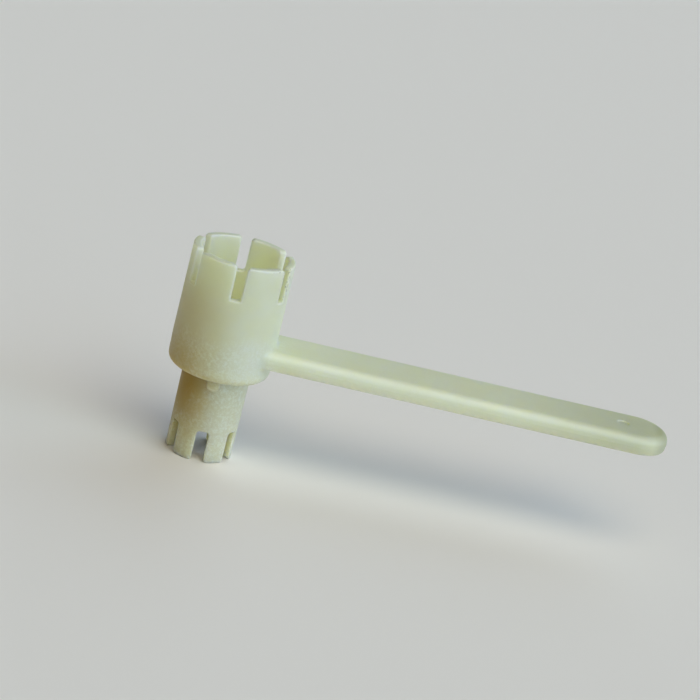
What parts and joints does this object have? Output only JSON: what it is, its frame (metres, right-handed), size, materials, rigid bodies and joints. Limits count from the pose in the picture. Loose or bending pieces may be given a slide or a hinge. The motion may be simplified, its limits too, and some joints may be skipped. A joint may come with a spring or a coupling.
{
  "type": "string winder",
  "caption": "Plastic hand winder: a large slotted socket above a smaller slotted socket on the same axis, turned by a flat bar handle with a round end that stands out to the side.",
  "frame": {"origin": "on the common axis of the sockets, at the floor of the large socket", "axes": "+Z out of the large socket's mouth, +X along the handle to its round end"},
  "size_m": [0.1337, 0.0272, 0.0566],
  "materials": {
    "natural_nylon": "uncoloured milky nylon, satin, slightly translucent"
  },
  "bodies": {
    "root": {"large_socket_barrel": "natural_nylon", "socket_shoulder": "natural_nylon", "small_socket_barrel": "natural_nylon", "shoulder_lug": "natural_nylon", "handle_bar": "natural_nylon", "large_socket_finger_1": "natural_nylon", "large_socket_finger_2": "natural_nylon", "large_socket_finger_3": "natural_nylon", "large_socket_finger_4": "natural_nylon", "large_socket_finger_5": "natural_nylon", "large_socket_finger_6": "natural_nylon", "small_socket_finger_1": "natural_nylon", "small_socket_finger_2": "natural_nylon", "small_socket_finger_3": "natural_nylon", "small_socket_finger_4": "natural_nylon", "small_socket_finger_5": "natural_nylon", "small_socket_finger_6": "natural_nylon"}
  },
  "joints": []
}
